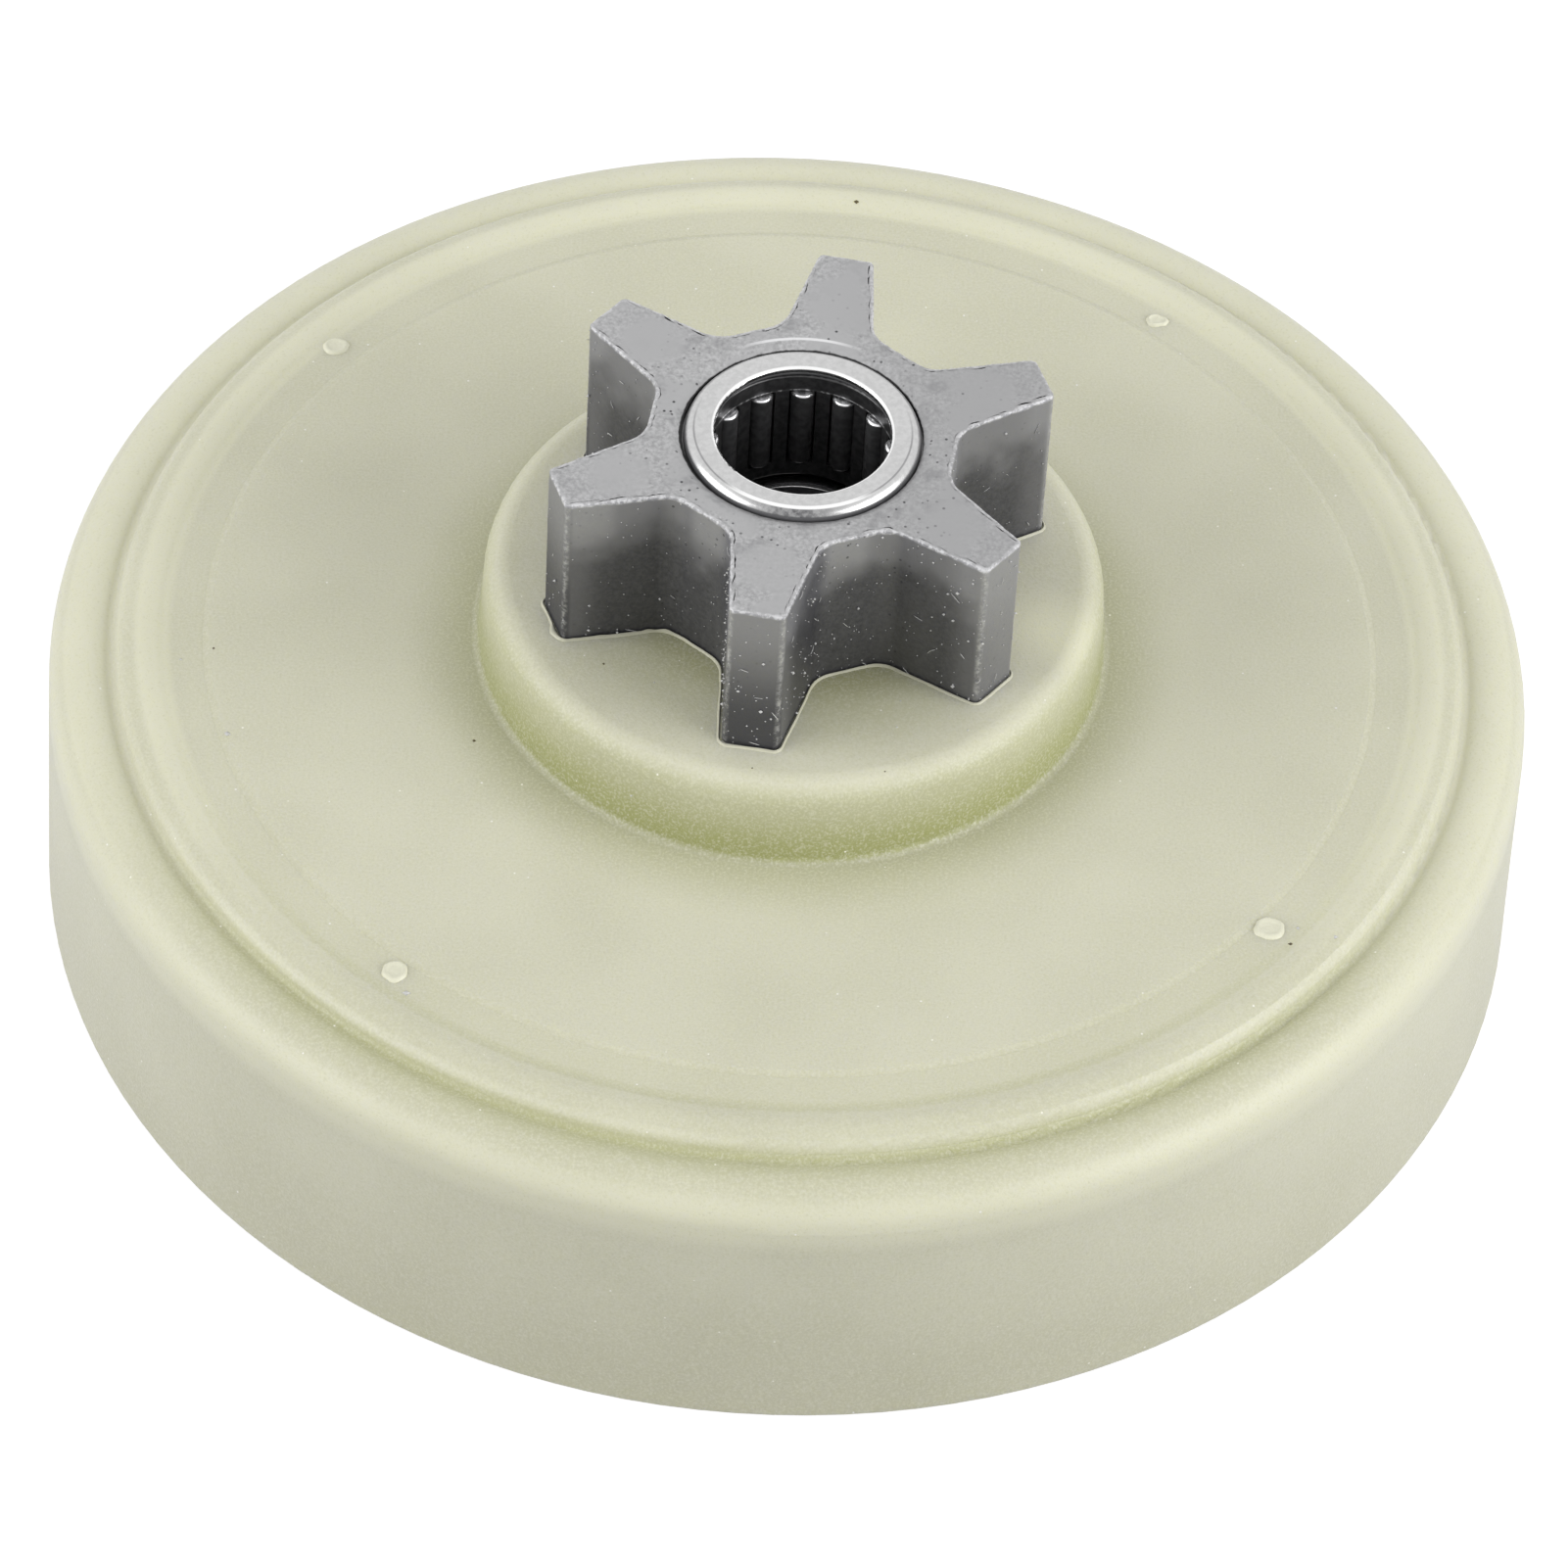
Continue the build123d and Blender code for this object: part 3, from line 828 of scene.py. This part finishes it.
def fibre(start, direction, length, radius, points, faces, rng):
    """Adds one short bent fibre, a thin three-sided tube with pointed ends, to a mesh's lists."""
    first = len(points)
    side = direction.orthogonal().normalized()
    bend = side.cross(direction) * rng.uniform(-0.25, 0.25) * length
    steps = 5
    points.append(start)
    for k in range(1, steps):
        share = k / steps
        centre = start + direction * length * share + bend * math.sin(math.pi * share)
        for turn in range(3):
            spoke = Matrix.Rotation(2 * math.pi * turn / 3, 3, direction) @ side
            points.append(centre + spoke * radius)
    points.append(start + direction * length)
    last = len(points) - 1
    for turn in range(3):
        after = (turn + 1) % 3
        faces.append((first, first + 1 + after, first + 1 + turn))
        for k in range(steps - 2):
            low, high = first + 1 + 3 * k, first + 4 + 3 * k
            faces.append((low + turn, low + after, high + after, high + turn))
        faces.append((last, last - 3 + turn, last - 3 + after))


def add_dust(outline, material):
    """Pale crumbs and fibres that cling to the star's flanks, most of them low down at the front."""
    rng = random.Random(DUST_SEED)
    points = []
    faces = []
    added = 0
    while added < DUST_COUNT:
        point, outward, edge = rng.choice(outline)
        angle = math.degrees(math.atan2(point.y, point.x)) % 360
        front = 0.3 + 0.7 * max(0.0, 1 - abs(angle - 285) / 60)
        height = rng.uniform(0, 1) ** 1.3
        if rng.random() > front:
            continue
        added += 1
        size = rng.uniform(0.06, 0.13) * MM if added % 8 else rng.uniform(0.18, 0.28) * MM
        level = BOSS_TOP + 0.15 * MM + height * (STAR_TOP - BOSS_TOP - 0.4 * MM)
        place = Vector((*(point + outward * size * 0.25), level))
        if added % 14:
            crumb(place, size, 1.0, points, faces, rng)
        else:
            along = Vector((-outward.y, outward.x, rng.uniform(-2.5, 2.5))).normalized()
            fibre(place, along, rng.uniform(0.4, 0.9) * MM, 0.028 * MM, points, faces, rng)
    make_object("dust_on_flanks", points, faces, material, smooth_angle=180)


def add_spots(name, spots, flat, material):
    """Small crumbs lying on the drum, each flattened to that share of its width."""
    rng = random.Random(SPOT_SEED)
    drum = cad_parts["gear_drum"]
    points = []
    faces = []
    for radius, degrees, size in spots:
        angle = math.radians(degrees)
        above = Vector((radius * MM * math.cos(angle), radius * MM * math.sin(angle), STAR_TOP))
        hit, place, normal, index = drum.ray_cast(above, Vector((0, 0, -1)))
        if hit:
            crumb(place, size * MM, flat, points, faces, rng)
    make_object(name, points, faces, material, smooth_angle=180)


def seen_colour(tree, seen, lit):
    """A shader that camera, glossy and transmission rays see as seen, and other rays as lit."""
    path = tree.nodes.new("ShaderNodeLightPath")
    most = path.outputs["Is Camera Ray"]
    for name in ("Is Glossy Ray", "Is Transmission Ray"):
        larger = tree.nodes.new("ShaderNodeMath")
        larger.operation = "MAXIMUM"
        tree.links.new(most, larger.inputs[0])
        tree.links.new(path.outputs[name], larger.inputs[1])
        most = larger.outputs[0]
    mixed = tree.nodes.new("ShaderNodeMixShader")
    tree.links.new(most, mixed.inputs[0])
    tree.links.new(lit, mixed.inputs[1])
    tree.links.new(seen, mixed.inputs[2])
    return mixed.outputs[0]


def add_world(level):
    """Even light at that level from all sides, which the camera and metals see as white."""
    world = bpy.data.worlds.new("studio")
    world.use_nodes = True
    tree = world.node_tree
    lit = tree.nodes["Background"]
    lit.inputs["Strength"].default_value = level
    lit.inputs["Color"].default_value = (*WHITE, 1.0)
    seen = tree.nodes.new("ShaderNodeBackground")
    seen.inputs["Color"].default_value = (*WHITE, 1.0)
    shader = seen_colour(tree, seen.outputs[0], lit.outputs[0])
    tree.links.new(shader, tree.nodes["World Output"].inputs["Surface"])
    bpy.context.scene.world = world


def add_floor(half_width):
    """A white floor, brightened to pure white for the eye, on which the part's soft shadow still shows."""
    mesh = bpy.data.meshes.new("floor")
    corners = [(x * half_width, y * half_width, 0.0) for x, y in ((-1, -1), (1, -1), (1, 1), (-1, 1))]
    mesh.from_pydata(corners, [], [(0, 1, 2, 3)])
    floor = bpy.data.objects.new("floor", mesh)
    bpy.context.scene.collection.objects.link(floor)
    material = bpy.data.materials.new("floor_white")
    material.use_nodes = True
    tree = material.node_tree
    shader = tree.nodes["Principled BSDF"]
    shader.inputs["Base Color"].default_value = (FLOOR_GREY, FLOOR_GREY, FLOOR_GREY, 1.0)
    shader.inputs["Roughness"].default_value = 0.9
    shader.inputs["Specular IOR Level"].default_value = 0.0
    glow = tree.nodes.new("ShaderNodeEmission")
    glow.inputs["Strength"].default_value = FLOOR_GLOW
    both = tree.nodes.new("ShaderNodeAddShader")
    tree.links.new(shader.outputs[0], both.inputs[0])
    tree.links.new(glow.outputs[0], both.inputs[1])
    seen = seen_colour(tree, both.outputs[0], shader.outputs[0])
    tree.links.new(seen, tree.nodes["Material Output"].inputs["Surface"])
    mesh.materials.append(material)


def add_lamp(name, azimuth, power):
    """A square soft lamp of that many watts that shines at the part from an azimuth, in degrees from +X."""
    lamp = bpy.data.lights.new(name, "AREA")
    lamp.shape = "SQUARE"
    lamp.size = LAMP_WIDTH
    lamp.energy = power
    made = bpy.data.objects.new(name, lamp)
    turn, rise = math.radians(azimuth), math.radians(LAMP_ELEVATION)
    direction = Vector((math.cos(turn) * math.cos(rise), math.sin(turn) * math.cos(rise), math.sin(rise)))
    made.location = direction * LAMP_DISTANCE + Vector((0, 0, CAMERA_AIM_HEIGHT))
    made.rotation_mode = "QUATERNION"
    made.rotation_quaternion = (-direction).to_track_quat("-Z", "Y")
    bpy.context.scene.collection.objects.link(made)


def add_camera():
    """The photograph's camera: a long lens, looking down at the part from the front."""
    data = bpy.data.cameras.new("camera")
    data.lens = LENS
    data.sensor_width = SENSOR
    data.clip_start = 0.01
    data.clip_end = 20.0
    up = Vector((0, math.sin(CAMERA_ELEVATION), math.cos(CAMERA_ELEVATION)))
    back = Vector((0, -math.cos(CAMERA_ELEVATION), math.sin(CAMERA_ELEVATION)))
    across = Vector((1, 0, 0))
    right = math.cos(CAMERA_ROLL) * across + math.sin(CAMERA_ROLL) * up
    top = math.cos(CAMERA_ROLL) * up - math.sin(CAMERA_ROLL) * across
    place = Vector((0, 0, CAMERA_AIM_HEIGHT)) + CAMERA_DISTANCE * back
    place -= CAMERA_AIM_RIGHT * right + CAMERA_AIM_UP * top
    camera = bpy.data.objects.new("camera", data)
    camera.matrix_world = Matrix.Translation(place) @ Matrix((right, top, back)).transposed().to_4x4()
    bpy.context.scene.collection.objects.link(camera)
    bpy.context.scene.camera = camera


def paint(name, material):
    """Gives a carried-over CAD node its material."""
    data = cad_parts[name].data
    data.materials.clear()
    data.materials.append(material)


bpy.context.scene.view_settings.view_transform = "Standard"
add_camera()
add_world(WORLD_LEVEL)
add_floor(FLOOR_HALF_WIDTH)
add_lamp("left_softbox", LEFT_LAMP_AZIMUTH, LEFT_LAMP_POWER)
add_lamp("right_softbox", RIGHT_LAMP_AZIMUTH, RIGHT_LAMP_POWER)

nylon_material = nylon("nylon")
torn_nylon = nylon("torn_nylon", 0.6)
steel_material = star_steel()
materials = {
    "gear_drum": nylon_material,
    "sprocket": steel_material,
    "cup": cup_steel(),
    "cage": cage_steel(),
    "needle": needle_steel(),
}
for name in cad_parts:
    kind = name if name in materials else next(key for key in materials if key in name)
    paint(name, materials[kind])

star_edge = add_star(steel_material)
add_flash(star_edge, torn_nylon)
for number, (degrees, radius, length, width) in enumerate(GATE_MARKS):
    add_gate_mark(
        f"gate_mark_{number + 1}",
        math.radians(degrees),
        radius * MM,
        length * MM,
        width * MM,
        torn_nylon,
        5.3 + number,
    )
pale_dust = dust_material("pale_dust", srgb(222, 222, 220))
dark_dirt = dust_material("dark_dirt", srgb(96, 86, 60))
add_dust(star_edge, pale_dust)
add_spots("dark_spots", DARK_SPOTS, 0.35, dark_dirt)
add_spots("pale_spots", PALE_SPOTS, 0.4, pale_dust)
